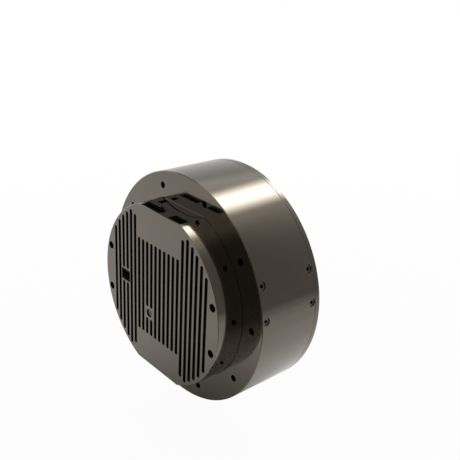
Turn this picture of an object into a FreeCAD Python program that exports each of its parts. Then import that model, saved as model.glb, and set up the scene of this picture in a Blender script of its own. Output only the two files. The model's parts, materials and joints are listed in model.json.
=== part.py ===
import FreeCAD, Part
import math
import os

# Outer-rotor joint actuator, in millimetres.
#
# The origin is on the rotation axis, in the plane of the output ring's front face.
# +Y runs along the axis from the front cover to the rear cap, and +Z is up.
# Fixed side: hub (cover, controller housing, stator carrier), winding and boards.
# Turning side: output ring, shell, rear cap, yoke, magnets and shaft.
# Angles are counted from +X towards +Z, in degrees.

Vector = FreeCAD.Vector
ORIGIN = Vector(0, 0, 0)
AXIS = Vector(0, 1, 0)
ALONG_X = Vector(1, 0, 0)
ALONG_Z = Vector(0, 0, 1)

# ---- Driving dimensions -------------------------------------------------------------

# Drum, from the outside inwards
drum_r = 68.0
shell_wall = 4.0
edge_chamfer = 0.4
seam_chamfer = 0.25
ring_width = 10.5
ring_thickness = 6.0
running_gap = 0.5
cap_rim = 3.4
cap_floor = 4.5
spigot_length = 5.0
spigot_wall = 7.0

# Ten M4 holes of the output ring
output_bolt_inset = 4.0
output_bolt_count = 10
output_tap_r = 1.65

# Radial M2.5 screws that hold the ring and the cap in the shell
shell_screw_angles = (7.0, 23.0, 187.0, 203.0)
shell_screw_inset = 2.8
shell_screw_r = 1.25
shell_screw_length = 6.5
shell_head_r = 2.15
shell_head_height = 2.4
shell_socket = 2.0
shell_bore_r = 2.3
shell_bore_depth = 3.0
screw_clearance = 0.15
thread_runout = 0.3

# Hub: its outline is round with a flat above and below
hub_height = 16.5
flat_depth = 3.5
hub_wall = 2.2
cover_face = 1.5
cover_depth = 6.4
cover_chamfer = 0.3
flange_setback = 0.8
flange_thickness = 4.0
root_chamfer = 0.6

# Four M5 holes of the fixed side
mount_inset = 3.6
mount_angle = 16.0
mount_tap_r = 2.1
mount_boss_r = 4.2

# Tie screws through carrier, housing and cover, M3
tie_inset = 5.0
tie_top_x = 3.7
tie_r = 1.5
tie_head_r = 2.8
tie_boss_r = 3.4
tie_depth = 3.4
tie_socket = 2.0

# Vent slots
slot_width = 2.0
slot_pitch = 4.0
vent_rim = 2.4
middle_half_width = 20.0
middle_land = 20.2
shoulder_half_width = 24.0
shoulder_land = 7.7

# Window of the service connector, and the round land with its dimple
window_x = -32.0
window_width = 8.3
window_height = 6.8
window_margin = 1.2
land_x = -8.0
land_z = -15.0
land_r = 3.9
dimple_r = 2.4
dimple_depth = 0.7

# Openings of the top flat
opening_lip = 0.5
power_x = -8.6
power_width = 16.2
signal_x = 13.2
signal_width = 10.4
breather_x = -13.0
breather_width = 3.4
breather_length = 4.8
connector_gap = 0.2
connector_setback = 0.5
connector_length = 11.0
connector_wall = 0.8
connector_floor = 3.0
pin_tip_gap = 2.0
power_pin_r = 1.3
power_pin_count = 2
signal_pin_r = 0.4
signal_pin_count = 5
service_floor = 1.5
service_pin = 0.5
service_pin_pitch = 1.4
service_row_pitch = 1.8
service_pin_columns = 4

# Boards
board_thickness = 1.6
board_gap = 0.4
board_screw_inset = 9.2
board_screw_angle = 45.0
standoff_r = 2.5
board_screw_r = 1.25
board_screw_length = 5.0
board_head_r = 2.25
board_head_height = 1.6
board_socket = 1.5
solder_height = 0.5

# Components on the driver board
switch_width = 5.2
switch_height = 6.2
switch_thickness = 1.0
switch_count = 6
switch_pitch = 9.0
switch_land = 19.5
capacitor_r = 4.0
capacitor_height = 4.4
capacitor_count = 4
capacitor_pitch = 10.0
capacitor_land = 21.5
shunt_width = 6.3
shunt_height = 3.2
shunt_thickness = 0.6
shunt_count = 3
shunt_pitch = 18.0
shunt_land = 11.5
processor_size = 10.0
processor_thickness = 1.2
processor_x = 8.0
processor_z = 2.0
driver_size = 7.0
driver_thickness = 1.0
driver_x = 0.0
driver_z = -14.0
inductor_size = 8.0
inductor_height = 4.0
inductor_corner = 1.5
inductor_inset = 21.0
inductor_z = 12.0

# Magnets and winding
yoke_thickness = 3.0
yoke_overhang = 1.5
magnet_thickness = 3.0
magnet_overhang = 1.5
magnet_count = 28
magnet_cover = 0.86
air_gap = 0.8
stack_length = 19.0
core_depth = 19.2
tooth_count = 24
tooth_width = 5.5
tooth_start = 7.5
shoe_thickness = 2.0
slot_opening = 2.4
core_yoke = 4.5
insulator_thickness = 2.0
coil_overhang = 3.4
coil_corner = 2.4
coil_gap = 0.5
winding_gap = 1.6
lead_teeth = (14, 16, 18)
lead_r = 1.2
lead_inset = 3.2
lead_clearance = 0.7

# Carrier
carrier_overrun = 3.5
core_shoulder = 2.0
seat_wall = 3.5
carrier_wall = 4.0
carrier_web = 4.0
rib_count = 6
rib_thickness = 3.0

# Bearings, 25 x 37 x 7, with cylindrical rollers
bearing_r = 18.5
bearing_section = 6.0
bearing_width = 7.0
bearing_inset = 7.0
bearing_shoulder = 2.0
race_share = 0.195
bearing_lip = 1.0
lip_share = 0.5
roller_count = 14
roller_clearance = 0.08
roller_end_gap = 0.1
cage_share = 0.6
cage_margin = 0.5
pocket_clearance = 0.1
circlip_thickness = 1.2
circlip_depth = 0.9
circlip_gap = 24.0
spring_thickness = 0.8

# Shaft
shaft_bore_r = 8.0
shaft_flange_r = 21.0
shaft_flange_thickness = 4.0
shaft_shoulder = 2.0
rotor_gap = 1.0
nut_thickness = 3.0
nut_width = 2.9
nut_notch = 3.0
shaft_nose = 1.0
pilot_length = 2.0
shaft_screw_count = 6
shaft_screw_circle_r = 17.0
shaft_screw_r = 1.5
shaft_screw_length = 4.7
shaft_head_r = 2.75
shaft_head_height = 3.0
shaft_socket = 2.5
shaft_bore_depth = 3.2

# Encoder
holder_flange = 2.4
holder_flange_r = 10.5
holder_plug = 5.0
encoder_magnet_r = 4.0
encoder_magnet_length = 2.5
encoder_magnet_proud = 0.8
sensor_gap = 1.2
sensor_size = 5.0
sensor_thickness = 1.0
encoder_board_margin = 4.4
encoder_screw_inset = 2.2
encoder_screw_r = 1.0
encoder_head_r = 1.9
encoder_head_height = 1.3
encoder_socket = 1.3
encoder_thread_depth = 2.5
encoder_screw_angles = (90.0, 210.0, 330.0)
header_z = 9.0
header_width = 10.0
header_depth = 2.5

# ---- Derived places -----------------------------------------------------------------

shell_in_r = drum_r - shell_wall
ring_in_r = shell_in_r - ring_width
output_bolt_r = shell_in_r - output_bolt_inset
yoke_in_r = shell_in_r - yoke_thickness
magnet_in_r = yoke_in_r - magnet_thickness
stator_r = magnet_in_r - air_gap
core_bore_r = stator_r - core_depth
core_yoke_r = core_bore_r + core_yoke
shoe_in_r = stator_r - shoe_thickness
coil_in_r = core_yoke_r + coil_gap
coil_out_r = shoe_in_r - coil_gap
tooth_pitch = 360.0 / tooth_count
coil_half_width = coil_in_r * math.tan(math.pi / tooth_count) - coil_gap / 2

hub_r = ring_in_r - running_gap
hub_flat = hub_r - flat_depth
cover_front = -hub_height
cover_inside = cover_front + cover_face
hub_seam = cover_front + cover_depth
flange_front = flange_setback
flange_back = flange_front + flange_thickness

mount_r = hub_r - mount_inset
mount_x = mount_r * math.cos(math.radians(mount_angle))
mount_z = mount_r * math.sin(math.radians(mount_angle))
tie_points = (
    (hub_r - tie_inset, 0.0),
    (tie_inset - hub_r, 0.0),
    (0.0, tie_inset - hub_flat),
    (tie_top_x, hub_flat - tie_inset),
)

board_front = hub_seam
board_back = board_front + board_thickness

coil_front = max(ring_thickness, flange_back) + winding_gap
stack_front = coil_front + coil_overhang
stack_back = stack_front + stack_length
stack_middle = (stack_front + stack_back) / 2
coil_back = stack_back + coil_overhang
magnet_length = stack_length + 2 * magnet_overhang
yoke_length = magnet_length + 2 * yoke_overhang
carrier_back = stack_back + carrier_overrun
lead_circle_r = coil_in_r + lead_inset

front_bearing = flange_front + bearing_inset
rear_bearing = carrier_back - bearing_width
bearing_bore_r = bearing_r - bearing_section
bearing_pitch_r = bearing_r - bearing_section / 2
race_wall = race_share * bearing_section
inner_race_r = bearing_bore_r + race_wall
outer_race_r = bearing_r - race_wall
roller_r = (outer_race_r - inner_race_r) / 2 - roller_clearance
lip_r = outer_race_r - lip_share * roller_r
cage_thickness = cage_share * roller_r
roller_length = bearing_width - 2 * bearing_lip - 2 * roller_end_gap
shaft_flange_front = carrier_back + rotor_gap
cap_inside = shaft_flange_front + shaft_flange_thickness
rear_face = cap_inside + cap_floor
shell_length = rear_face - cap_rim
nut_front = front_bearing - nut_thickness
shaft_front = nut_front - shaft_nose
shaft_seat = rear_face - shaft_bore_depth

holder_front = shaft_front - holder_flange
encoder_magnet_front = holder_front - encoder_magnet_proud
sensor_back = encoder_magnet_front - sensor_gap
encoder_back = sensor_back - sensor_thickness
encoder_front = encoder_back - board_thickness
encoder_board_r = bearing_r + encoder_board_margin
encoder_screw_circle_r = encoder_board_r - encoder_screw_inset


# ---- Small helpers ------------------------------------------------------------------

# Slack for comparing places and directions
same_place = 0.01

def cylinder(r, y0, y1, x=0.0, z=0.0):
    """Round bar along the axis direction, from y0 to y1."""
    return Part.makeCylinder(r, y1 - y0, Vector(x, y0, z), AXIS)


def tube(r_in, r_out, y0, y1, x=0.0, z=0.0):
    """Round bar with a concentric hole."""
    return cylinder(r_out, y0, y1, x, z).cut(cylinder(r_in, y0, y1, x, z))


def block(x0, x1, y0, y1, z0, z1):
    """Box between two corners."""
    return Part.makeBox(x1 - x0, y1 - y0, z1 - z0, Vector(x0, y0, z0))


def centred_block(x, z, width, height, y0, y1):
    """Box of a width along X and a height along Z, centred on x and z."""
    return block(x - width / 2, x + width / 2, y0, y1, z - height / 2, z + height / 2)


def turned(profile):
    """Solid of revolution about the axis, from a closed outline of (radius, y) points."""
    points = [Vector(r, y, 0) for r, y in profile]
    face = Part.Face(Part.makePolygon(points + points[:1]))
    return face.revolve(ORIGIN, AXIS, 360)


def at_angle(shape, angle):
    """Copy of a shape turned about the axis, from +X towards +Z."""
    copy = shape.copy()
    copy.rotate(ORIGIN, AXIS, -angle)
    return copy


def polar(r, angle):
    """X and Z of a point at a radius and an angle."""
    return r * math.cos(math.radians(angle)), r * math.sin(math.radians(angle))


def spread(shape, count, start=0.0):
    """Copies of a shape, evenly spaced about the axis."""
    return [at_angle(shape, start + 360.0 * i / count) for i in range(count)]


def rounded(shape, direction, radius):
    """Shape with its straight edges along one direction rounded."""
    edges = [e for e in shape.Edges
             if abs(e.tangentAt(e.FirstParameter).dot(direction)) > 1 - same_place]
    return shape.makeFillet(radius, edges)


def double_d(inset, y0, y1):
    """Plug of the hub's outline, drawn in by an inset: round, with a flat above and below."""
    r = hub_r - inset
    flat = hub_flat - inset
    return cylinder(r, y0, y1).common(block(-r, r, y0, y1, -flat, flat))


def placed(shape, point, direction):
    """Shape made along +Z at the origin, stood at a point along a direction."""
    shape.Placement = FreeCAD.Placement(point, FreeCAD.Rotation(ALONG_Z, direction))
    return shape


def hexagon(across, z0, z1):
    """Hexagonal bar along +Z."""
    corner_r = across / math.sqrt(3)
    turns = [math.tau * i / 6 for i in range(6)]
    corners = [Vector(corner_r * math.cos(a), corner_r * math.sin(a), z0) for a in turns]
    return Part.Face(Part.makePolygon(corners + corners[:1])).extrude(Vector(0, 0, z1 - z0))


def cap_screw(thread_r, length, head_r, head_height, socket, point, direction):
    """Socket cap screw: the head stands on its seat at a point, towards a direction."""
    screw = Part.makeCylinder(head_r, head_height)
    screw = screw.fuse(Part.makeCylinder(thread_r, length, Vector(0, 0, -length)))
    screw = screw.removeSplitter().cut(hexagon(socket, head_height / 2, head_height))
    return placed(screw, point, direction)


def countersunk_screw(thread_r, length, head_r, socket, point, direction):
    """Countersunk socket screw: its flat head ends at a point, towards a direction."""
    head_height = head_r - thread_r
    screw = Part.makeCone(thread_r, head_r, head_height, Vector(0, 0, -head_height))
    screw = screw.fuse(Part.makeCylinder(thread_r, length - head_height, Vector(0, 0, -length)))
    screw = screw.cut(hexagon(socket, -head_height, 0))
    return placed(screw, point, direction)


# ---- Turning side -------------------------------------------------------------------

def shell_screw_rows():
    """Distance along the axis of the front and the rear row of radial screws."""
    return shell_screw_inset, shell_length - shell_screw_inset


def radial_threads(y):
    """Blind tapped holes for one row of radial screws."""
    depth = shell_bore_depth + shell_screw_length + thread_runout
    hole = Part.makeCylinder(shell_screw_r, depth, Vector(drum_r - depth, y, 0), ALONG_X)
    return [at_angle(hole, angle) for angle in shell_screw_angles]


def rotor_shell():
    """Tube of the drum, with two rows of counterbored holes."""
    shell = turned((
        (shell_in_r, 0),
        (drum_r - edge_chamfer, 0),
        (drum_r, edge_chamfer),
        (drum_r, shell_length - seam_chamfer),
        (drum_r - seam_chamfer, shell_length),
        (shell_in_r, shell_length),
    ))
    holes = []
    for y in shell_screw_rows():
        through = Part.makeCylinder(shell_screw_r + screw_clearance, 2 * shell_wall,
                                    Vector(shell_in_r - shell_wall, y, 0), ALONG_X)
        seat = Vector(drum_r - shell_bore_depth, y, 0)
        bore = Part.makeCylinder(shell_bore_r, 2 * shell_bore_depth, seat, ALONG_X)
        hole = through.fuse(bore)
        holes += [at_angle(hole, angle) for angle in shell_screw_angles]
    return shell.cut(holes)


def output_ring():
    """Ring with the output bolt circle, flush with the front of the shell."""
    ring = tube(ring_in_r, shell_in_r, 0, ring_thickness)
    hole = cylinder(output_tap_r, 0, ring_thickness, output_bolt_r)
    return ring.cut(spread(hole, output_bolt_count) + radial_threads(shell_screw_inset))


def rear_cap():
    """Disc that closes the drum, with a spigot in the shell and a pilot in the shaft."""
    cap = turned((
        (0, rear_face),
        (drum_r - edge_chamfer, rear_face),
        (drum_r, rear_face - edge_chamfer),
        (drum_r, shell_length + seam_chamfer),
        (drum_r - seam_chamfer, shell_length),
        (shell_in_r, shell_length),
        (shell_in_r, shell_length - spigot_length),
        (shell_in_r - spigot_wall, shell_length - spigot_length),
        (shell_in_r - spigot_wall, cap_inside),
        (shaft_bore_r, cap_inside),
        (shaft_bore_r, cap_inside - pilot_length),
        (0, cap_inside - pilot_length),
    ))
    through = cylinder(shaft_screw_r + screw_clearance, cap_inside, rear_face, shaft_screw_circle_r)
    bore = cylinder(shaft_head_r + screw_clearance, shaft_seat, rear_face, shaft_screw_circle_r)
    holes = spread(through.fuse(bore), shaft_screw_count)
    return cap.cut(holes + radial_threads(shell_length - shell_screw_inset))


def shell_screws(y):
    """One row of radial screws."""
    seat_r = drum_r - shell_bore_depth
    screw = cap_screw(shell_screw_r, shell_screw_length, shell_head_r, shell_head_height,
                      shell_socket, Vector(seat_r, y, 0), ALONG_X)
    return [at_angle(screw, angle) for angle in shell_screw_angles]


def yoke_ring():
    """Steel ring behind the magnets."""
    y0 = stack_middle - yoke_length / 2
    return tube(yoke_in_r, shell_in_r, y0, y0 + yoke_length)


def magnets(first):
    """Every second magnet of the rotor, as arc segments."""
    pitch = 360.0 / magnet_count
    arc = pitch * magnet_cover
    y0 = stack_middle - magnet_length / 2
    outer = Part.makeCylinder(yoke_in_r, magnet_length, Vector(0, y0, 0), AXIS, arc)
    inner = Part.makeCylinder(magnet_in_r, magnet_length, Vector(0, y0, 0), AXIS, arc)
    magnet = outer.cut(inner)
    return [at_angle(magnet, pitch * i) for i in range(first, magnet_count, 2)]


def rotor_shaft():
    """Hollow shaft with a flange that is screwed to the rear cap."""
    shaft = turned((
        (shaft_bore_r, shaft_front),
        (bearing_bore_r, shaft_front),
        (bearing_bore_r, carrier_back),
        (bearing_bore_r + shaft_shoulder, carrier_back),
        (bearing_bore_r + shaft_shoulder, shaft_flange_front),
        (shaft_flange_r, shaft_flange_front),
        (shaft_flange_r, cap_inside),
        (shaft_bore_r, cap_inside),
    ))
    hole = cylinder(shaft_screw_r, shaft_flange_front, cap_inside, shaft_screw_circle_r)
    return shaft.cut(spread(hole, shaft_screw_count))


def shaft_screws():
    """Screws that clamp the shaft's flange to the rear cap."""
    screw = cap_screw(shaft_screw_r, shaft_screw_length, shaft_head_r, shaft_head_height,
                      shaft_socket, Vector(shaft_screw_circle_r, shaft_seat, 0), AXIS)
    return spread(screw, shaft_screw_count)


def shaft_nut():
    """Notched ring nut that clamps the bearings' inner rings."""
    nut_r = bearing_bore_r + nut_width
    nut = tube(bearing_bore_r, nut_r, nut_front, front_bearing)
    notch = block(nut_r - nut_width / 2, nut_r + 1, nut_front, front_bearing,
                  -nut_notch / 2, nut_notch / 2)
    return nut.cut(spread(notch, 4))


def magnet_holder():
    """Plug in the shaft's nose, with a pocket for the encoder magnet."""
    pocket_floor = encoder_magnet_front + encoder_magnet_length
    return turned((
        (0, pocket_floor),
        (encoder_magnet_r, pocket_floor),
        (encoder_magnet_r, holder_front),
        (holder_flange_r, holder_front),
        (holder_flange_r, shaft_front),
        (shaft_bore_r, shaft_front),
        (shaft_bore_r, shaft_front + holder_plug),
        (0, shaft_front + holder_plug),
    ))


def encoder_magnet():
    """Round magnet that the encoder reads."""
    return cylinder(encoder_magnet_r, encoder_magnet_front,
                    encoder_magnet_front + encoder_magnet_length)


def inner_ring_spacer():
    """Sleeve between the two inner rings."""
    return tube(bearing_bore_r, inner_race_r, front_bearing + bearing_width, rear_bearing)


# ---- Bearings -----------------------------------------------------------------------

def inner_race(y0):
    """Plain inner ring of a bearing."""
    return tube(bearing_bore_r, inner_race_r, y0, y0 + bearing_width)


def outer_race(y0):
    """Outer ring of a bearing, with a lip on each side of the rollers."""
    y1 = y0 + bearing_width
    return turned((
        (bearing_r, y0),
        (bearing_r, y1),
        (lip_r, y1),
        (lip_r, y1 - bearing_lip),
        (outer_race_r, y1 - bearing_lip),
        (outer_race_r, y0 + bearing_lip),
        (lip_r, y0 + bearing_lip),
        (lip_r, y0),
    ))


def bearing_rollers(y0):
    """Cylindrical rollers of a bearing."""
    end = y0 + bearing_lip + roller_end_gap
    return spread(cylinder(roller_r, end, end + roller_length, bearing_pitch_r), roller_count)


def bearing_cage(y0):
    """Cage of a bearing: a ring with a window for each roller."""
    middle = y0 + bearing_width / 2
    pocket_length = roller_length + 2 * pocket_clearance
    half_width = pocket_length / 2 + cage_margin
    half_pocket = roller_r + pocket_clearance
    cage = tube(bearing_pitch_r - cage_thickness / 2, bearing_pitch_r + cage_thickness / 2,
                middle - half_width, middle + half_width)
    pocket = block(bearing_pitch_r - cage_thickness, bearing_pitch_r + cage_thickness,
                   middle - pocket_length / 2, middle + pocket_length / 2,
                   -half_pocket, half_pocket)
    return cage.cut(spread(pocket, roller_count))


def bearing_circlip():
    """Open ring that keeps the front bearing in its seat."""
    y0 = front_bearing - circlip_thickness
    ring = tube(lip_r, bearing_r + circlip_depth, y0, front_bearing)
    gap = Part.makeCylinder(bearing_r + 2 * circlip_depth, circlip_thickness,
                            Vector(0, y0, 0), AXIS, circlip_gap)
    return ring.cut(gap)


def wave_spring():
    """Washer that preloads the rear bearing."""
    return tube(bearing_r - bearing_shoulder + circlip_depth / 2, bearing_r,
                rear_bearing - spring_thickness, rear_bearing)


# ---- Stator -------------------------------------------------------------------------

def stator_carrier():
    """Hub flange with the bearing seats and the seat of the stator core."""
    shoulder_r = core_bore_r + core_shoulder
    groove_r = bearing_r + circlip_depth
    carrier = turned((
        (hub_r, flange_front),
        (hub_r, flange_back),
        (shoulder_r, flange_back),
        (shoulder_r, stack_front),
        (core_bore_r, stack_front),
        (core_bore_r, carrier_back),
        (bearing_r, carrier_back),
        (bearing_r, rear_bearing - spring_thickness),
        (bearing_r - bearing_shoulder, rear_bearing - spring_thickness),
        (bearing_r - bearing_shoulder, front_bearing + bearing_width),
        (bearing_r, front_bearing + bearing_width),
        (bearing_r, front_bearing),
        (groove_r, front_bearing),
        (groove_r, front_bearing - circlip_thickness),
        (bearing_r, front_bearing - circlip_thickness),
        (bearing_r, flange_front),
    ))
    pocket = tube(bearing_r + seat_wall, core_bore_r - carrier_wall,
                  flange_back + carrier_web, carrier_back)
    rib = block(bearing_r, core_bore_r, flange_back, carrier_back,
                -rib_thickness / 2, rib_thickness / 2)
    holes = [tie_hole(x, z) for x, z in tie_points]
    holes += [cylinder(lead_r + lead_clearance, flange_front, flange_back, *lead_point(tooth))
              for tooth in lead_teeth]
    holes += [cylinder(board_screw_r, flange_front, flange_back, x, z)
              for x, z in board_screw_points()]
    holes += [cylinder(encoder_screw_r, flange_front, flange_front + encoder_thread_depth,
                       *polar(encoder_screw_circle_r, angle)) for angle in encoder_screw_angles]
    return carrier.cut([pocket.cut(spread(rib, rib_count))] + holes)


def tie_hole(x, z):
    """Countersunk clearance hole for a tie screw, from the back of the flange forwards."""
    head_height = tie_head_r - tie_r
    cone = Part.makeCone(tie_r, tie_head_r, head_height,
                         Vector(x, flange_back - head_height, z), AXIS)
    return cylinder(tie_r + screw_clearance, flange_front, flange_back, x, z).fuse(cone)


def tie_screws():
    """Countersunk screws that hold carrier, housing and cover together."""
    length = flange_back - hub_seam + tie_depth
    return [countersunk_screw(tie_r, length, tie_head_r, tie_socket,
                              Vector(x, flange_back, z), AXIS) for x, z in tie_points]


def stator_core():
    """Laminated core: ring, teeth and tooth shoes."""
    ring = tube(core_bore_r, core_yoke_r, stack_front, stack_back)
    stem = block(core_yoke_r - core_yoke / 2, shoe_in_r + shoe_thickness / 2,
                 stack_front, stack_back, -tooth_width / 2, tooth_width / 2)
    shoes = tube(shoe_in_r, stator_r, stack_front, stack_back)
    opening = block(shoe_in_r - 1, stator_r + 1, stack_front, stack_back,
                    -slot_opening / 2, slot_opening / 2)
    shoes = shoes.cut(spread(opening, tooth_count, tooth_start + tooth_pitch / 2))
    core = ring.fuse(spread(stem, tooth_count, tooth_start) + [shoes])
    return core.removeSplitter()


def coil():
    """One coil, round the tooth on +X."""
    bundle = block(coil_in_r, coil_out_r, coil_front, coil_back,
                   -coil_half_width, coil_half_width)
    bundle = rounded(bundle, ALONG_X, coil_corner)
    tooth = block(coil_in_r, coil_out_r, stack_front, stack_back,
                  -tooth_width / 2, tooth_width / 2)
    return bundle.cut(tooth)


def phase_coils(phase):
    """Coils of one phase: pairs of neighbouring teeth, every third pair."""
    one = coil()
    teeth = [tooth for tooth in range(tooth_count) if tooth // 2 % 3 == phase]
    return [at_angle(one, tooth_start + tooth_pitch * tooth) for tooth in teeth]


def end_insulator(y0):
    """Moulded ring on one end of the core."""
    return tube(core_bore_r + core_shoulder, core_yoke_r, y0, y0 + insulator_thickness)


def lead_point(tooth):
    """X and Z of the lead that leaves the coil of a tooth."""
    return polar(lead_circle_r, tooth_start + tooth_pitch * tooth)


def phase_leads():
    """Straight leads from the winding, through the flange, to the driver board."""
    return [cylinder(lead_r, board_front - solder_height, coil_front, *lead_point(tooth))
            for tooth in lead_teeth]


# ---- Hub ----------------------------------------------------------------------------

def root_wedge():
    """Slope that leads from the top flat up to the flange."""
    corners = ((flange_front - root_chamfer, hub_flat), (flange_front, hub_flat),
               (flange_front, hub_flat + root_chamfer))
    points = [Vector(-hub_r, y, z) for y, z in corners]
    prism = Part.Face(Part.makePolygon(points + points[:1])).extrude(Vector(2 * hub_r, 0, 0))
    return prism.common(cylinder(hub_r, hub_seam, flange_front))


def controller_housing():
    """Wall of the hub between the cover and the flange, with bosses for the tie screws."""
    wall = double_d(0, hub_seam, flange_front).cut(double_d(hub_wall, hub_seam, flange_front))
    bosses = [cylinder(tie_boss_r, hub_seam, flange_front, x, z) for x, z in tie_points]
    housing = wall.fuse(bosses).common(double_d(0, hub_seam, flange_front))
    housing = housing.fuse(root_wedge()).removeSplitter()
    holes = [cylinder(tie_r + screw_clearance, hub_seam, flange_front, x, z)
             for x, z in tie_points]
    middle = (board_back + flange_front) / 2
    holes.append(block(breather_x - breather_width / 2, breather_x + breather_width / 2,
                       middle - breather_length / 2, middle + breather_length / 2,
                       hub_flat - hub_wall, hub_flat))
    return housing.cut(holes)


def slot_spans(x):
    """Lower and upper end of each slot at one X."""
    if abs(x) < middle_half_width:
        reach = hub_flat - middle_land
    elif abs(x) < shoulder_half_width:
        reach = hub_flat - shoulder_land
    else:
        reach = math.sqrt((hub_r - vent_rim) ** 2 - x ** 2)
    if abs(x - window_x) < (window_width + slot_width) / 2:
        land = window_height / 2 + window_margin
        return (-reach, -land), (land, reach)
    if abs(x - land_x) < land_r:
        return (-reach, land_z - land_r), (land_z + land_r, reach)
    return ((-reach, reach),)


def slot(x, z0, z1):
    """Cutter for one slot with round ends."""
    end_r = slot_width / 2
    cutter = block(x - end_r, x + end_r, cover_front, cover_inside, z0 + end_r, z1 - end_r)
    ends = [cylinder(end_r, cover_front, cover_inside, x, z) for z in (z0 + end_r, z1 - end_r)]
    return cutter.fuse(ends).removeSplitter()


def vent_slots():
    """Cutters for all slots: as many as fit between the bosses of the mounting holes."""
    half_span = mount_x - mount_boss_r - slot_width / 2
    per_side = int((half_span - slot_pitch / 2) / slot_pitch) + 1
    places = [slot_pitch * (i + 0.5) for i in range(-per_side, per_side)]
    return [slot(x, z0, z1) for x in places for z0, z1 in slot_spans(x)]


def mount_points():
    """X and Z of the four mounting holes."""
    return [(sx * mount_x, sz * mount_z) for sx in (-1, 1) for sz in (-1, 1)]


def vented_cover():
    """Slotted cup that closes the hub, with tapped mounting holes."""
    outer = double_d(0, cover_front, hub_seam)
    rim = [e for e in outer.Edges if e.BoundBox.YMax < cover_front + same_place]
    outer = outer.makeChamfer(cover_chamfer, rim)
    cavity = double_d(hub_wall, cover_inside, hub_seam)
    bosses = [cylinder(mount_boss_r, cover_inside, hub_seam, x, z) for x, z in mount_points()]
    bosses += [cylinder(tie_boss_r, cover_inside, hub_seam, x, z) for x, z in tie_points]
    cover = outer.cut(cavity.cut(bosses))
    cuts = vent_slots()
    cuts += [cylinder(mount_tap_r, cover_front, hub_seam, x, z) for x, z in mount_points()]
    cuts += [cylinder(tie_r, hub_seam - tie_depth - thread_runout, hub_seam, x, z)
             for x, z in tie_points]
    cuts.append(centred_block(window_x, 0, window_width, window_height, cover_front, cover_inside))
    cuts.append(cylinder(dimple_r, cover_front, cover_front + dimple_depth, land_x, land_z))
    for x, width in ((power_x, power_width), (signal_x, signal_width)):
        cuts.append(block(x - width / 2, x + width / 2, cover_front + opening_lip, hub_seam,
                          hub_flat - 2 * hub_wall, hub_flat + 1))
    return cover.cut(cuts)


# ---- Boards -------------------------------------------------------------------------

def board_screw_points():
    """X and Z of the driver board's screws."""
    x, z = polar(hub_r - board_screw_inset, board_screw_angle)
    return [(sx * x, sz * z) for sx in (-1, 1) for sz in (-1, 1)]


def driver_board():
    """Board of the motor controller, notched round the tie screws' bosses."""
    board = double_d(hub_wall + board_gap, board_front, board_back)
    holes = [cylinder(tie_boss_r + board_gap, board_front, board_back, x, z)
             for x, z in tie_points]
    holes += [cylinder(board_screw_r + screw_clearance, board_front, board_back, x, z)
              for x, z in board_screw_points()]
    holes += [cylinder(lead_r, board_front, board_back, *lead_point(tooth))
              for tooth in lead_teeth]
    return board.cut(holes)


def board_standoffs():
    """Pillars between flange and driver board, each with a stud in the flange."""
    pillars = []
    for x, z in board_screw_points():
        pillar = cylinder(standoff_r, board_back, flange_front, x, z)
        pillar = pillar.fuse(cylinder(board_screw_r, flange_front, flange_back, x, z))
        thread_end = board_front + board_screw_length + thread_runout
        pillars.append(pillar.cut(cylinder(board_screw_r, board_back, thread_end, x, z)))
    return pillars


def board_screws():
    """Screws of the driver board."""
    return [cap_screw(board_screw_r, board_screw_length, board_head_r, board_head_height,
                      board_socket, Vector(x, board_front, z), -AXIS)
            for x, z in board_screw_points()]


def top_connector(x, width):
    """Shell of a connector in the top flat, open upwards."""
    half = width / 2 - connector_gap
    y0 = cover_inside + connector_gap
    top = hub_flat - connector_setback
    bottom = top - connector_length
    shell = block(x - half, x + half, y0, board_front, bottom, top)
    cavity = block(x - half + connector_wall, x + half - connector_wall, y0 + connector_wall,
                   board_front - connector_wall, bottom + connector_floor, top)
    return shell.cut(cavity)


def row(count, pitch):
    """Places of a row of equally spaced pieces, centred on zero."""
    return [pitch * (i - (count - 1) / 2) for i in range(count)]


def top_pins(x, width, count, pin_r):
    """Round contacts of a connector in the top flat."""
    bottom = hub_flat - connector_setback - connector_length + connector_floor
    length = connector_length - connector_floor - pin_tip_gap
    y = (cover_inside + connector_gap + board_front) / 2
    pitch = (width - 2 * connector_gap - 2 * connector_wall) / count
    return [Part.makeCylinder(pin_r, length, Vector(x + dx, y, bottom), ALONG_Z)
            for dx in row(count, pitch)]


def service_connector():
    """Shell of the connector in the window, open to the front."""
    width = window_width - 2 * connector_gap
    height = window_height - 2 * connector_gap
    front = cover_front + connector_setback
    shell = centred_block(window_x, 0, width, height, front, board_front)
    cavity = centred_block(window_x, 0, width - 2 * connector_wall, height - 3 * connector_wall,
                           front, board_front - service_floor)
    return shell.cut(cavity)


def service_pins():
    """Contacts of the service connector, in two rows."""
    back = board_front - service_floor
    front = cover_front + connector_setback + pin_tip_gap / 2
    return [centred_block(window_x + dx, dz, service_pin, service_pin, front, back)
            for dx in row(service_pin_columns, service_pin_pitch)
            for dz in row(2, service_row_pitch)]


def component(x, z, width, height, thickness):
    """Rectangular component on the front of the driver board."""
    return centred_block(x, z, width, height, board_front - thickness, board_front)


def power_switches():
    """Row of transistors of the output stage."""
    return [component(x, switch_land - hub_flat, switch_width, switch_height, switch_thickness)
            for x in row(switch_count, switch_pitch)]


def bus_capacitors():
    """Row of low round capacitors of the supply."""
    return [cylinder(capacitor_r, board_front - capacitor_height, board_front,
                     x, hub_flat - capacitor_land)
            for x in row(capacitor_count, capacitor_pitch)]


def current_shunts():
    """Row of sense resistors."""
    return [component(x, shunt_land - hub_flat, shunt_width, shunt_height, shunt_thickness)
            for x in row(shunt_count, shunt_pitch)]


def microcontroller():
    """Square processor package."""
    return component(processor_x, processor_z, processor_size, processor_size,
                     processor_thickness)


def gate_driver():
    """Square driver package."""
    return component(driver_x, driver_z, driver_size, driver_size, driver_thickness)


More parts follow.
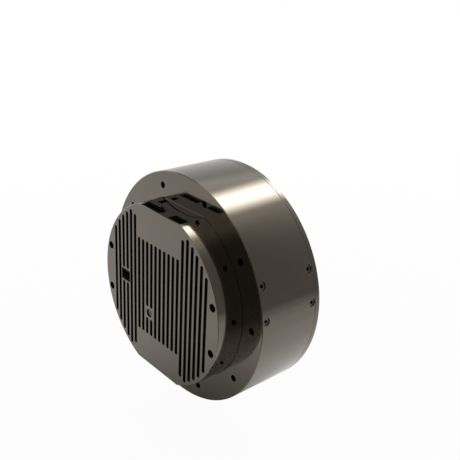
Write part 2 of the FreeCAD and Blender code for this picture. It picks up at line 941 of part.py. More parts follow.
def power_inductor():
    """Shielded inductor of the board's own supply."""
    x = hub_r - inductor_inset
    body = component(x, inductor_z, inductor_size, inductor_size, inductor_height)
    return rounded(body, AXIS, inductor_corner)


def encoder_board():
    """Round board in front of the shaft's nose."""
    board = cylinder(encoder_board_r, encoder_front, encoder_back)
    return board.cut([cylinder(encoder_screw_r + screw_clearance, encoder_front, encoder_back,
                               *polar(encoder_screw_circle_r, angle))
                      for angle in encoder_screw_angles])


def encoder_sensor():
    """Magnetic angle sensor, on the back of its board."""
    return centred_block(0, 0, sensor_size, sensor_size, encoder_back, sensor_back)


def encoder_spacers():
    """Sleeves between flange and encoder board."""
    return [tube(encoder_screw_r, encoder_head_r, encoder_back, flange_front,
                 *polar(encoder_screw_circle_r, angle)) for angle in encoder_screw_angles]


def encoder_screws():
    """Screws of the encoder board."""
    length = flange_front - encoder_front + encoder_thread_depth - thread_runout
    screws = []
    for angle in encoder_screw_angles:
        x, z = polar(encoder_screw_circle_r, angle)
        screws.append(cap_screw(encoder_screw_r, length, encoder_head_r, encoder_head_height,
                                encoder_socket, Vector(x, encoder_front, z), -AXIS))
    return screws


def board_header():
    """Header that joins the encoder board to the driver board."""
    return centred_block(0, header_z, header_width, header_depth, board_back, encoder_front)


# ---- Nodes --------------------------------------------------------------------------

def save(name, shape):
    """Write one node; a list of pieces is written as a group of separate solids."""
    if isinstance(shape, list):
        shape = Part.makeCompound(shape)
    shape.exportStep(os.path.join("parts", name + ".step"))


def main():
    os.makedirs("parts", exist_ok=True)
    front_row, rear_row = shell_screw_rows()
    nodes = {
        "vented_cover": vented_cover(),
        "controller_housing": controller_housing(),
        "stator_carrier": stator_carrier(),
        "tie_screws": tie_screws(),
        "driver_board": driver_board(),
        "board_standoffs": board_standoffs(),
        "board_screws": board_screws(),
        "power_connector": top_connector(power_x, power_width),
        "power_pins": top_pins(power_x, power_width, power_pin_count, power_pin_r),
        "signal_connector": top_connector(signal_x, signal_width),
        "signal_pins": top_pins(signal_x, signal_width, signal_pin_count,
                                signal_pin_r),
        "service_connector": service_connector(),
        "service_pins": service_pins(),
        "power_switches": power_switches(),
        "bus_capacitors": bus_capacitors(),
        "current_shunts": current_shunts(),
        "microcontroller": microcontroller(),
        "gate_driver": gate_driver(),
        "power_inductor": power_inductor(),
        "encoder_board": encoder_board(),
        "encoder_sensor": encoder_sensor(),
        "encoder_spacers": encoder_spacers(),
        "encoder_screws": encoder_screws(),
        "board_header": board_header(),
        "stator_core": stator_core(),
        "coils_phase_u": phase_coils(0),
        "coils_phase_v": phase_coils(1),
        "coils_phase_w": phase_coils(2),
        "front_insulator": end_insulator(stack_front - insulator_thickness),
        "rear_insulator": end_insulator(stack_back),
        "phase_leads": phase_leads(),
        "front_outer_race": outer_race(front_bearing),
        "rear_outer_race": outer_race(rear_bearing),
        "bearing_circlip": bearing_circlip(),
        "wave_spring": wave_spring(),
        "rotor_shell": rotor_shell(),
        "output_ring": output_ring(),
        "rear_cap": rear_cap(),
        "front_shell_screws": shell_screws(front_row),
        "rear_shell_screws": shell_screws(rear_row),
        "yoke_ring": yoke_ring(),
        "north_magnets": magnets(0),
        "south_magnets": magnets(1),
        "rotor_shaft": rotor_shaft(),
        "shaft_screws": shaft_screws(),
        "shaft_nut": shaft_nut(),
        "inner_ring_spacer": inner_ring_spacer(),
        "front_inner_race": inner_race(front_bearing),
        "rear_inner_race": inner_race(rear_bearing),
        "magnet_holder": magnet_holder(),
        "encoder_magnet": encoder_magnet(),
        "front_bearing_rollers": bearing_rollers(front_bearing),
        "front_bearing_cage": bearing_cage(front_bearing),
        "rear_bearing_rollers": bearing_rollers(rear_bearing),
        "rear_bearing_cage": bearing_cage(rear_bearing),
    }
    for name, shape in nodes.items():
        save(name, shape)


main()
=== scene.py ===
import json
import math

import bmesh
import bpy
from mathutils import Matrix, Vector


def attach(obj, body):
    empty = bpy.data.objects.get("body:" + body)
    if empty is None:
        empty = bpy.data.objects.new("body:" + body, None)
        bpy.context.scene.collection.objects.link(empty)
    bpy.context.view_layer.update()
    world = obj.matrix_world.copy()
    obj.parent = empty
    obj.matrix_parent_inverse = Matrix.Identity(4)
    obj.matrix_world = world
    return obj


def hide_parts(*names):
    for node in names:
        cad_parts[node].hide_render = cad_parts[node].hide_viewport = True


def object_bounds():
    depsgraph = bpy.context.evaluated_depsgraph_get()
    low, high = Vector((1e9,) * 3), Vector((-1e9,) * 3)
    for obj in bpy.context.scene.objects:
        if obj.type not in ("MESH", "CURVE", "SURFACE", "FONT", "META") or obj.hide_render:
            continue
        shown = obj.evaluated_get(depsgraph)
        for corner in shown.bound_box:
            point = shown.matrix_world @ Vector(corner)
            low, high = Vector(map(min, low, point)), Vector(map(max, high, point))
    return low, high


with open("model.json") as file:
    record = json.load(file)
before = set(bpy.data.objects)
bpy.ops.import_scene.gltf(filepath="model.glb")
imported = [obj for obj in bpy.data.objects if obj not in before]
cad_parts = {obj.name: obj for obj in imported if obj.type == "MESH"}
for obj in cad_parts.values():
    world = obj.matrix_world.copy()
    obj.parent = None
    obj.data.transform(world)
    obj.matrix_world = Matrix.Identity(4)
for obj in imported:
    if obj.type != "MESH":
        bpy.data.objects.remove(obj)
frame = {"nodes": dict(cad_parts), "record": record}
cad_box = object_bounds()

# Outer-rotor joint actuator, in metres. The rotation axis is Y, the front is -Y and up is +Z.
# A fixed hub stands inside a drum that turns; both are anodised and mirror the studio softly.

MM = 0.001


def corner_range(name):
    """Lowest and highest corner of one piece."""
    node = frame["nodes"][name]
    points = [node.matrix_world @ Vector(corner) for corner in node.bound_box]
    return (Vector(min(p[i] for p in points) for i in range(3)),
            Vector(max(p[i] for p in points) for i in range(3)))


# ---- Places taken from the pieces ---------------------------------------------------

cover_low, cover_high = corner_range("vented_cover")
hub_radius = cover_high.x
hub_flat = cover_high.z
cover_front = cover_low.y
flange_front = corner_range("stator_carrier")[0].y
drum_radius = corner_range("rotor_shell")[1].x
rear_face = corner_range("rear_cap")[1].y
ring_radius = corner_range("output_ring")[1].x
ring_bore = min(math.hypot(v.co.x, v.co.z) for v in frame["nodes"]["output_ring"].data.vertices)
head_radius = corner_range("front_shell_screws")[1].x
head_rear = corner_range("shaft_screws")[1].y

# ---- View and studio ----------------------------------------------------------------

camera_spot = Vector((0.272966, -0.211925, 0.182863))
camera_heading = math.radians(47.773)
camera_pitch = math.radians(-22.882)
camera_roll = math.radians(2.981)
camera_lens = 52.785
camera_sensor = 36.0
camera_clip = 0.01

# The part hangs a little above the floor. Near it the floor shows some of the lamps' light and
# the shadow, and from the nearer to the farther fade distance it turns to even white.
floor_drop = 0.030
floor_reach = 6.0
floor_own_light = 0.93
floor_fade = (0.30, 0.80)
# Brightness of the floor as the metal mirrors it, and of the world's light from all round.
floor_in_metal = 0.76
world_level = 0.75

# Softboxes that light the painted and moulded pieces:
# name, azimuth and height above the axis in degrees, distance, width, length, brightness.
# Azimuth 0 stands in front of the cover and 90 to its right; a brightness of 1 is white.
lamps = (
    ("rear_softbox", -167.0, 50.6, 1.2, 0.50, 0.90, 2.0),
    ("left_softbox", -88.0, 14.0, 1.2, 0.90, 0.80, 1.2),
    ("front_softbox", -42.0, 42.0, 1.6, 1.00, 1.00, 1.0),
)
# Panels with soft edges, which only the metal mirrors: name, azimuth, height, distance,
# width, length, brightness, and the shares of the width and of the length that are even.
panels = (
    ("rear_strip", -169.0, 50.6, 1.20, 0.58, 1.00, 8.0, 0.0, 0.0),
    ("rear_right_screen", 122.0, 24.0, 0.55, 0.92, 1.10, 0.29, 0.10, 0.44),
    ("rear_left_screen", -129.0, 16.0, 0.80, 0.70, 0.80, 0.60, 0.40, 0.60),
    ("front_right_screen", 50.0, 20.0, 0.62, 1.00, 1.30, 0.25, 0.40, 0.45),
    ("high_left_screen", -66.0, 44.0, 0.60, 0.50, 0.26, 0.50, 0.40, 0.40),
    ("front_left_screen", -48.0, 23.0, 0.62, 0.40, 0.40, 0.50, 0.50, 0.50),
)
# The same, lying on the floor: name, x, y, turn in degrees, width, length, brightness and
# the even shares. The two long cloths run out under the screens, at the same brightness.
floor_panels = (
    # The first three rows are painted shadow: darker floor, seen only in the metal, where the
    # part's own shadow falls.
    ("front_floor_painted_shadow", 0.300, -0.200, 0.0, 0.56, 0.34, 0.28, 0.40, 0.40),
    ("left_foot_painted_shadow", -0.020, -0.050, 0.0, 0.24, 0.16, 0.45, 0.0, 0.0),
    ("foot_shade", 0.008, 0.008, 0.0, 0.20, 0.20, 0.02, 0.0, 0.0),
    ("front_right_floor_cloth", 0.475, -0.399, -130.0, 1.10, 0.72, 0.25, 0.60, 0.45),
    ("rear_right_floor_cloth", 0.678, 0.424, -58.0, 1.10, 1.20, 0.29, 0.60, 0.15),
)
# Each floor panel lies this much above the one before it.
floor_panel_lift = 0.001

# ---- Plates and finishes: shared values ---------------------------------------------

# How far the walls of the openings are taken back, and the lip that narrows the running gap.
slot_ease = 0.20 * MM
tap_ease = 0.30 * MM
lip_proud = 0.30 * MM
# Walls this near to a plate's rim or to the ring's bore stay where they are, and a wall this
# near to the bore's radius is the bore's own.
rim_wall = 1.2 * MM
bore_wall = 0.1 * MM
# Corners of a plate closer together than this are one. A face is a wall of an opening where
# its normal has less than this share along the axis.
weld_reach = 0.001 * MM
wall_lean = 0.5
# How far the flange stands forward over each flat, and the slope that leads up to it there.
land_step = 0.40 * MM
root_slope = 0.60 * MM
land_points = 49
# Edges that bend more than this stay crisp.
sharp_edge = math.radians(30)

# Anodised aluminium: two tones that drift into each other, and near-black painted shade inside.
# The painted shade starts this far under a surface, and under the drum's round wall. In the hub it
# ends at this place along the axis, and the ring's bore is left without it this far in.
anodised_tones = ("#62594b", "#685f50")
painted_shade_tone = "#050505"
under_surface = 0.4 * MM
under_drum_wall = 0.5 * MM
hub_shade_end = 0.5 * MM
bore_unshaded_depth = 2.0 * MM
# Farther off than any point of the part.
beyond = 1.0


# ---- Helpers ------------------------------------------------------------------------

def colour(hexa):
    """Linear colour of an sRGB hex value."""
    parts = [int(hexa[i:i + 2], 16) / 255 for i in (1, 3, 5)]
    return (*[p / 12.92 if p <= 0.04045 else ((p + 0.055) / 1.055) ** 2.4 for p in parts], 1.0)


def add(tree, kind, settings=None, **inputs):
    """New node with its settings, and its inputs set to a value or linked to an output.

    An input goes by its name, with _ for a space, or by i and its number.
    """
    node = tree.nodes.new(kind)
    for name, value in (settings or {}).items():
        setattr(node, name, value)
    for name, value in inputs.items():
        key = int(name[1:]) if name[0] == "i" and name[1:].isdigit() else name.replace("_", " ")
        if isinstance(value, bpy.types.NodeSocket):
            tree.links.new(value, node.inputs[key])
        else:
            node.inputs[key].default_value = value
    return node


def new_material(name):
    """Empty node material, its tree, and the position on the piece at rest in metres."""
    material = bpy.data.materials.new(name)
    material.use_nodes = True
    material.node_tree.nodes.clear()
    place = add(material.node_tree, "ShaderNodeTexCoord").outputs["Object"]
    return material, material.node_tree, place


def turned_place(tree, place):
    """Distance from the rotation axis, and a place that runs along a lathe tool's path."""
    parts = add(tree, "ShaderNodeSeparateXYZ", None, Vector=place).outputs
    flat = add(tree, "ShaderNodeCombineXYZ", None, X=parts["X"], Y=parts["Z"]).outputs[0]
    radius = add(tree, "ShaderNodeVectorMath", {"operation": "LENGTH"}, i0=flat).outputs["Value"]
    path = add(tree, "ShaderNodeCombineXYZ", None, X=radius, Y=parts["Y"]).outputs[0]
    return radius, path


def inside(tree, place, radius, low, high, flat=beyond):
    """1 within a radius, between two places along the axis and below a flat, and 0 outside."""
    parts = add(tree, "ShaderNodeSeparateXYZ", None, Vector=place).outputs
    height = add(tree, "ShaderNodeMath", {"operation": "ABSOLUTE"}, i0=parts["Z"]).outputs[0]
    distance = turned_place(tree, place)[0]
    share = 1.0
    for value, operation, limit in ((distance, "LESS_THAN", radius), (height, "LESS_THAN", flat),
                                    (parts["Y"], "GREATER_THAN", low),
                                    (parts["Y"], "LESS_THAN", high)):
        test = add(tree, "ShaderNodeMath", {"operation": operation}, i0=value, i1=limit)
        share = add(tree, "ShaderNodeMath", {"operation": "MULTIPLY"}, i0=share,
                    i1=test.outputs[0]).outputs[0]
    return share


# ---- Finishes -----------------------------------------------------------------------
# Pattern scales are real sizes in millimetres, unless the finish says that it is drawn coarser.

def anodised_skin(tree, place, grain, cloud_mm, painted_shade, roughest):
    """Sealed anodised aluminium: a dark warm sheen under a clear layer, and near-black painted
    shade in the hollows.
    """
    cloud = add(tree, "ShaderNodeTexNoise", None, Vector=place, Scale=1 / (cloud_mm * MM),
                Detail=2.0).outputs["Fac"]
    tint = add(tree, "ShaderNodeMix", {"data_type": "RGBA"}, i0=cloud,
               i6=colour(anodised_tones[0]), i7=colour(anodised_tones[1])).outputs[2]
    # Inside the piece the colour goes near black: painted shade, not a colour of the metal.
    tint = add(tree, "ShaderNodeMix", {"data_type": "RGBA"}, i0=painted_shade, i6=tint,
               i7=colour(painted_shade_tone)).outputs[2]
    bump = add(tree, "ShaderNodeBump", None, Strength=0.03, Distance=0.01 * MM, Height=grain)
    rough = add(tree, "ShaderNodeMapRange", None, Value=grain, To_Min=0.09,
                To_Max=roughest).outputs[0]
    shader = add(tree, "ShaderNodeBsdfPrincipled", None, Base_Color=tint, Metallic=1.0,
                 Roughness=rough, Normal=bump.outputs["Normal"], Coat_Weight=1.0,
                 Coat_Roughness=0.06)
    add(tree, "ShaderNodeOutputMaterial", None, Surface=shader.outputs[0])


def anodised_hub():
    """Fine-blasted aluminium, anodised: an even sheen with no direction.

    The blasted grain is drawn coarser than its real 0.1 mm, so that it shows.
    """
    material, tree, place = new_material("anodised_aluminium_blasted")
    grain = add(tree, "ShaderNodeTexNoise", None, Vector=place, Scale=1 / (0.35 * MM),
                Detail=3.0, Roughness=0.6).outputs["Fac"]
    # Painted shade: the walls of the slots and the inside of the hub are coloured near black.
    painted_shade = inside(tree, place, hub_radius - under_surface, cover_front + under_surface,
                    hub_shade_end, hub_flat - under_surface)
    anodised_skin(tree, place, grain, 18, painted_shade, 0.13)
    return material


def anodised_drum():
    """Turned aluminium, anodised: the same sheen, with faint tool lines round the axis.

    The tool lines are drawn coarser than their real 0.1 mm feed, so that they show.
    """
    material, tree, place = new_material("anodised_aluminium_turned")
    path = turned_place(tree, place)[1]
    lines = add(tree, "ShaderNodeTexNoise", None, Vector=path, Scale=1 / (0.3 * MM),
                Detail=2.0, Roughness=0.5).outputs["Fac"]
    # Painted shade: the inside of the drum is coloured near black, except the mouth of the ring's
    # bore.
    painted_shade = inside(tree, place, drum_radius - under_drum_wall, under_surface,
                    rear_face - under_surface)
    mouth = inside(tree, place, ring_bore + under_surface, 0.0, bore_unshaded_depth)
    painted_shade = add(tree, "ShaderNodeMath", {"operation": "SUBTRACT", "use_clamp": True}, i0=painted_shade,
                 i1=mouth).outputs[0]
    anodised_skin(tree, place, lines, 25, painted_shade, 0.14)
    return material


def zinc_steel():
    """Cold-headed, zinc-plated screw steel: grey head faces, and near-black painted shade in the
    socket and below.

    The plating's crystals are drawn coarser than real, so that they break up the sheen.
    """
    material, tree, place = new_material("zinc_plated_steel")
    grain = add(tree, "ShaderNodeTexNoise", None, Vector=place, Scale=1 / (0.3 * MM),
                Detail=3.0).outputs["Fac"]
    # Painted shade: below the head's face the colour goes near black.
    below = inside(tree, place, head_radius - under_surface, -beyond, head_rear - under_surface)
    tint = add(tree, "ShaderNodeMix", {"data_type": "RGBA"}, i0=below,
               i6=colour("#6a665f"), i7=colour("#0c0b0a")).outputs[2]
    rough = add(tree, "ShaderNodeMapRange", None, Value=grain, To_Min=0.20, To_Max=0.30).outputs[0]
    bump = add(tree, "ShaderNodeBump", None, Strength=0.05, Distance=0.02 * MM, Height=grain)
    shader = add(tree, "ShaderNodeBsdfPrincipled", None, Base_Color=tint, Metallic=1.0,
                 Roughness=rough, Normal=bump.outputs["Normal"])
    add(tree, "ShaderNodeOutputMaterial", None, Surface=shader.outputs[0])
    return material


def turned_metal(name, light, dark, roughness, feed_mm):
    """Bare turned or ground metal: its tool lines run round the axis and streak the sheen."""
    material, tree, place = new_material(name)
    path = turned_place(tree, place)[1]
    lines = add(tree, "ShaderNodeTexNoise", None, Vector=path, Scale=1 / (feed_mm * MM),
                Detail=2.0, Roughness=0.7).outputs["Fac"]
    cloud = add(tree, "ShaderNodeTexNoise", None, Vector=place, Scale=1 / (6 * MM),
                Detail=2.0).outputs["Fac"]
    tint = add(tree, "ShaderNodeMix", {"data_type": "RGBA"}, i0=cloud, i6=colour(light),
               i7=colour(dark)).outputs[2]
    rough = add(tree, "ShaderNodeMapRange", None, Value=lines, To_Min=roughness * 0.7,
                To_Max=roughness * 1.3).outputs[0]
    bump = add(tree, "ShaderNodeBump", None, Strength=0.12, Distance=0.01 * MM, Height=lines)
    shader = add(tree, "ShaderNodeBsdfPrincipled", None, Base_Color=tint, Metallic=1.0,
                 Roughness=rough, Normal=bump.outputs["Normal"])
    add(tree, "ShaderNodeOutputMaterial", None, Surface=shader.outputs[0])
    return material


def nickel_plating():
    """Nickel-plated sintered magnet: a faint orange peel under the plating, warm grey."""
    material, tree, place = new_material("nickel_plating")
    peel = add(tree, "ShaderNodeTexNoise", None, Vector=place, Scale=1 / (0.6 * MM),
               Detail=1.0).outputs["Fac"]
    pits = add(tree, "ShaderNodeTexVoronoi", None, Vector=place,
               Scale=1 / (1.2 * MM)).outputs["Distance"]
    spots = add(tree, "ShaderNodeMapRange", None, Value=pits, From_Min=0.05, From_Max=0.14,
                To_Min=0.45, To_Max=0.22).outputs[0]
    tint = add(tree, "ShaderNodeMix", {"data_type": "RGBA"}, i0=peel, i6=colour("#b4b0a8"),
               i7=colour("#a39f96")).outputs[2]
    bump = add(tree, "ShaderNodeBump", None, Strength=0.10, Distance=0.03 * MM, Height=peel)
    shader = add(tree, "ShaderNodeBsdfPrincipled", None, Base_Color=tint, Metallic=1.0,
                 Roughness=spots, Normal=bump.outputs["Normal"])
    add(tree, "ShaderNodeOutputMaterial", None, Surface=shader.outputs[0])
    return material


def electrical_steel():
    """Stack of 0.5 mm silicon-steel sheets: fine dark seams across the axis, blued faces."""
    material, tree, place = new_material("electrical_steel")
    along = add(tree, "ShaderNodeSeparateXYZ", None, Vector=place).outputs["Y"]
    sheet = add(tree, "ShaderNodeMath", {"operation": "PINGPONG"}, i0=along,
                i1=0.25 * MM).outputs[0]
    seam = add(tree, "ShaderNodeMapRange", None, Value=sheet, From_Min=0.0,
               From_Max=0.06 * MM, To_Min=1.0, To_Max=0.0).outputs[0]
    heat = add(tree, "ShaderNodeTexNoise", None, Vector=place, Scale=1 / (5 * MM),
               Detail=3.0).outputs["Fac"]
    tint = add(tree, "ShaderNodeMix", {"data_type": "RGBA"}, i0=heat, i6=colour("#5c5c62"),
               i7=colour("#494a54")).outputs[2]
    tint = add(tree, "ShaderNodeMix", {"data_type": "RGBA"}, i0=seam, i6=tint,
               i7=colour("#1c1a19")).outputs[2]
    rough = add(tree, "ShaderNodeMapRange", None, Value=heat, To_Min=0.34, To_Max=0.52).outputs[0]
    bump = add(tree, "ShaderNodeBump", {"invert": True}, Strength=0.4, Distance=0.03 * MM,
               Height=seam)
    shader = add(tree, "ShaderNodeBsdfPrincipled", None, Base_Color=tint, Metallic=1.0,
                 Roughness=rough, Normal=bump.outputs["Normal"])
    add(tree, "ShaderNodeOutputMaterial", None, Surface=shader.outputs[0])
    return material


def enamelled_copper():
    """Wound 0.8 mm copper wire under dark impregnating varnish: rounded turns, painted shade
    between them.
    """
    material, tree, place = new_material("enamelled_copper")
    radius = turned_place(tree, place)[0]
    across = add(tree, "ShaderNodeMath", {"operation": "PINGPONG"}, i0=radius,
                 i1=0.4 * MM).outputs[0]
    crown = add(tree, "ShaderNodeMapRange", {"interpolation_type": "SMOOTHSTEP"}, Value=across,
                From_Min=0.0, From_Max=0.3 * MM).outputs[0]
    pooled = add(tree, "ShaderNodeTexNoise", None, Vector=place, Scale=1 / (3 * MM),
                 Detail=3.0).outputs["Fac"]
    tint = add(tree, "ShaderNodeMix", {"data_type": "RGBA"}, i0=pooled, i6=colour("#4a2413"),
               i7=colour("#2c150c")).outputs[2]
    # Between the turns the colour goes near black: painted shade in the creases.
    tint = add(tree, "ShaderNodeMix", {"data_type": "RGBA"}, i0=crown, i6=colour("#0e0806"),
               i7=tint).outputs[2]
    bump = add(tree, "ShaderNodeBump", None, Strength=0.6, Distance=0.15 * MM, Height=crown)
    shader = add(tree, "ShaderNodeBsdfPrincipled", None, Base_Color=tint, Metallic=0.6,
                 Roughness=0.42, Normal=bump.outputs["Normal"], Coat_Weight=0.3,
                 Coat_Roughness=0.2)
    add(tree, "ShaderNodeOutputMaterial", None, Surface=shader.outputs[0])
    return material


def drawn_aluminium():
    """Deep-drawn capacitor can: fine draw lines along it, a soft pale sheen."""
    material, tree, place = new_material("drawn_aluminium")
    stretched = add(tree, "ShaderNodeVectorMath", {"operation": "MULTIPLY"}, i0=place,
                    i1=(1.0, 0.02, 1.0)).outputs[0]
    lines = add(tree, "ShaderNodeTexNoise", None, Vector=stretched, Scale=1 / (0.12 * MM),
                Detail=2.0).outputs["Fac"]
    rough = add(tree, "ShaderNodeMapRange", None, Value=lines, To_Min=0.28, To_Max=0.46).outputs[0]
    bump = add(tree, "ShaderNodeBump", None, Strength=0.1, Distance=0.01 * MM, Height=lines)
    shader = add(tree, "ShaderNodeBsdfPrincipled", None, Base_Color=colour("#9c9c9e"),
                 Metallic=1.0, Roughness=rough, Normal=bump.outputs["Normal"])
    add(tree, "ShaderNodeOutputMaterial", None, Surface=shader.outputs[0])
    return material


def gold_flash():
    """Thin gold over nickel on stamped contacts, its tints darkened as painted shade of the
    socket.
    """
    material, tree, place = new_material("gold_flash")
    wear = add(tree, "ShaderNodeTexNoise", None, Vector=place, Scale=1 / (0.8 * MM),
               Detail=2.0).outputs["Fac"]
    # Both tints are darkened as painted shade of the socket; the noise between them is wear.
    tint = add(tree, "ShaderNodeMix", {"data_type": "RGBA"}, i0=wear, i6=colour("#3e3220"),
               i7=colour("#2a241c")).outputs[2]
    shader = add(tree, "ShaderNodeBsdfPrincipled", None, Base_Color=tint, Metallic=1.0,
                 Roughness=0.45)
    add(tree, "ShaderNodeOutputMaterial", None, Surface=shader.outputs[0])
    return material


def solder_mask():
    """Black solder mask over etched copper: tracks of 0.3 mm stand proud and a little paler."""
    material, tree, place = new_material("black_solder_mask")
    parts = add(tree, "ShaderNodeSeparateXYZ", None, Vector=place).outputs
    board = add(tree, "ShaderNodeCombineXYZ", None, X=parts["X"], Y=parts["Z"]).outputs[0]
    tracks = add(tree, "ShaderNodeTexBrick", {"offset": 0.37, "squash": 1.6}, Vector=board,
                 Scale=1.0, Mortar_Size=0.3 * MM, Brick_Width=4.2 * MM,
                 Row_Height=1.6 * MM).outputs["Fac"]
    stain = add(tree, "ShaderNodeTexNoise", None, Vector=place, Scale=1 / (4 * MM),
                Detail=2.0).outputs["Fac"]
    tint = add(tree, "ShaderNodeMix", {"data_type": "RGBA"}, i0=tracks, i6=colour("#070908"),
               i7=colour("#101411")).outputs[2]
    rough = add(tree, "ShaderNodeMapRange", None, Value=stain, To_Min=0.28, To_Max=0.40).outputs[0]
    bump = add(tree, "ShaderNodeBump", None, Strength=0.3, Distance=0.035 * MM, Height=tracks)
    shader = add(tree, "ShaderNodeBsdfPrincipled", None, Base_Color=tint, Roughness=rough,
                 Normal=bump.outputs["Normal"], IOR=1.55)
    add(tree, "ShaderNodeOutputMaterial", None, Surface=shader.outputs[0])
    return material


def moulded(name, light, dark, roughness, grain_mm, shine, index):
    """Moulded plastic or epoxy: matt, with the grain of a spark-eroded mould, drawn coarser."""
    material, tree, place = new_material(name)
    grain = add(tree, "ShaderNodeTexNoise", None, Vector=place, Scale=1 / (grain_mm * MM),
                Detail=3.0).outputs["Fac"]
    flow = add(tree, "ShaderNodeTexNoise", None, Vector=place, Scale=1 / (3 * MM),
               Detail=1.0).outputs["Fac"]
    tint = add(tree, "ShaderNodeMix", {"data_type": "RGBA"}, i0=flow, i6=colour(light),
               i7=colour(dark)).outputs[2]
    rough = add(tree, "ShaderNodeMapRange", None, Value=grain, To_Min=roughness * 0.85,
                To_Max=roughness * 1.15).outputs[0]
    bump = add(tree, "ShaderNodeBump", None, Strength=0.15, Distance=0.02 * MM, Height=grain)
    shader = add(tree, "ShaderNodeBsdfPrincipled", None, Base_Color=tint, Roughness=rough,
                 Normal=bump.outputs["Normal"], IOR=index, Specular_IOR_Level=shine)
    add(tree, "ShaderNodeOutputMaterial", None, Surface=shader.outputs[0])
    return material


finishes = {
    "hub_aluminium": anodised_hub(),
    "drum_aluminium": anodised_drum(),
    "screw_steel": zinc_steel(),
    "standoff_brass": turned_metal("turned_brass", "#c8a860", "#b09252", 0.30, 0.15),
    "circuit_board": solder_mask(),
    "connector_nylon": moulded("glass_filled_nylon", "#060606", "#030303", 0.60, 0.2, 0.05, 1.53),
    "contact_brass": gold_flash(),
    "chip_epoxy": moulded("moulded_epoxy", "#0e0e0e", "#0a0a0b", 0.55, 0.15, 0.4, 1.55),
    "capacitor_can": drawn_aluminium(),
    "core_steel": electrical_steel(),
    "enamelled_copper": enamelled_copper(),
    "bearing_steel": turned_metal("ground_bearing_steel", "#b8b8bc", "#a8a8ad", 0.18, 0.08),
    "magnet_nickel": nickel_plating(),
    "shaft_steel": turned_metal("ground_steel", "#8c8c90", "#7c7c80", 0.28, 0.12),
}
for part in frame["record"]["subparts"]:
    for material_slot in frame["nodes"][part["node"]].material_slots:
        material_slot.link = "OBJECT"
        material_slot.material = finishes[part["material_slot"]]


# ---- Pieces beside the solids: plates with eased openings, and the flange's lands ----

def put_in_scene(name, data, stand=None):
    """New object that shows its data, stood where it is told."""
    thing = bpy.data.objects.new(name, data)
    if stand is not None:
        thing.matrix_world = stand
    bpy.context.scene.collection.objects.link(thing)
    return thing


def metal_piece(name, shape, slot):
    """Piece with a finish, smooth on its round walls and crisp at its edges."""
    mesh = bpy.data.meshes.new(name)
    shape.to_mesh(mesh)
    shape.free()
    if "custom_normal" in mesh.attributes:
        mesh.attributes.remove(mesh.attributes["custom_normal"])
    mesh.shade_smooth()
    mesh.set_sharp_from_angle(angle=sharp_edge)
    mesh.materials.append(finishes[slot])
    return put_in_scene(name, mesh)


def eased(name, body, slot, eases):
    """Copy of a plate that stands for it, with the walls of its openings moved a little.

    Each ease holds the distances from the axis between which it works, the height above and
    below the axis that it keeps within, and how far it takes a wall back into the metal.
    """
    shape = bmesh.new()
    shape.from_mesh(frame["nodes"][name].data)
    bmesh.ops.remove_doubles(shape, verts=shape.verts, dist=weld_reach)
    moves = {}
    for face in shape.faces:
        middle = face.calc_center_median()
        distance = math.hypot(middle.x, middle.z)
        for near, far, height, back in eases:
            if (abs(face.normal.y) < wall_lean and near < distance < far
                    and abs(middle.z) < height):
                for corner in face.verts:
                    moves.setdefault(corner, []).append(-back * face.normal)
    for corner, steps in moves.items():
        corner.co += sum(steps, Vector()).normalized() * steps[0].length
    piece = metal_piece(name + "_eased", shape, slot)
    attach(piece, body)
    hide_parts(name)


def flange_land(name, side):
    """Step on the flange over one flat of the hub, which brings it near the ring's face.

    It has the shape of a bow: its straight edge follows the flat, and its arc the hub.
    """
    chord = hub_flat + root_slope - land_step
    half = math.acos(chord / hub_radius)
    turns = [half * (2 * i / (land_points - 1) - 1) for i in range(land_points)]
    shape = bmesh.new()
    rims = [[shape.verts.new((hub_radius * math.sin(t), y, side * hub_radius * math.cos(t)))
             for t in turns] for y in (flange_front - land_step, flange_front)]
    for rim in rims:
        shape.faces.new(rim)
    for i in range(land_points):
        j = (i + 1) % land_points
        shape.faces.new((rims[0][i], rims[0][j], rims[1][j], rims[1][i]))
    bmesh.ops.recalc_face_normals(shape, faces=shape.faces)
    piece = metal_piece(name, shape, "hub_aluminium")
    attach(piece, "stator")


flange_land("flange_land_top", 1)
flange_land("flange_land_bottom", -1)
eased("vented_cover", "stator", "hub_aluminium",
      [(0.0, hub_radius - rim_wall, hub_flat - rim_wall, slot_ease)])
eased("output_ring", "rotor", "drum_aluminium",
      [(ring_bore + rim_wall, ring_radius - rim_wall, beyond, tap_ease),
       (0.0, ring_bore + bore_wall, beyond, -lip_proud)])


# ---- Studio -------------------------------------------------------------------------

def seen_directly(tree):
    """1 where the background itself, or its reflection, is seen, and 0 for its light."""
    rays = add(tree, "ShaderNodeLightPath").outputs
    mirrored = add(tree, "ShaderNodeMath", {"operation": "MAXIMUM"},
                   i0=rays["Is Glossy Ray"], i1=rays["Is Transmission Ray"]).outputs[0]
    return add(tree, "ShaderNodeMath", {"operation": "MAXIMUM"},
               i0=rays["Is Camera Ray"], i1=mirrored).outputs[0]


def studio_world():
    """White behind the object, and a soft grey light from all round."""
    world = bpy.data.worlds.new("studio")
    bpy.context.scene.world = world
    world.use_nodes = True
    tree = world.node_tree
    tree.nodes.clear()
    white = add(tree, "ShaderNodeBackground", None, Color=(1, 1, 1, 1), Strength=1.0)
    light = add(tree, "ShaderNodeBackground", None, Color=(1, 1, 1, 1), Strength=world_level)
    both = add(tree, "ShaderNodeMixShader", None, Fac=seen_directly(tree),
               i1=light.outputs[0], i2=white.outputs[0])
    add(tree, "ShaderNodeOutputWorld", None, Surface=both.outputs[0])


def rectangle(name, width, length, stand):
    """Flat rectangle on its own origin, stood in the studio."""
    mesh = bpy.data.meshes.new(name)
    mesh.from_pydata([(x * width / 2, y * length / 2, 0)
                      for x, y in ((-1, -1), (1, -1), (1, 1), (-1, 1))], [], [(0, 1, 2, 3)])
    return put_in_scene(name, mesh, stand)


floor_height = cad_box[0].z - floor_drop


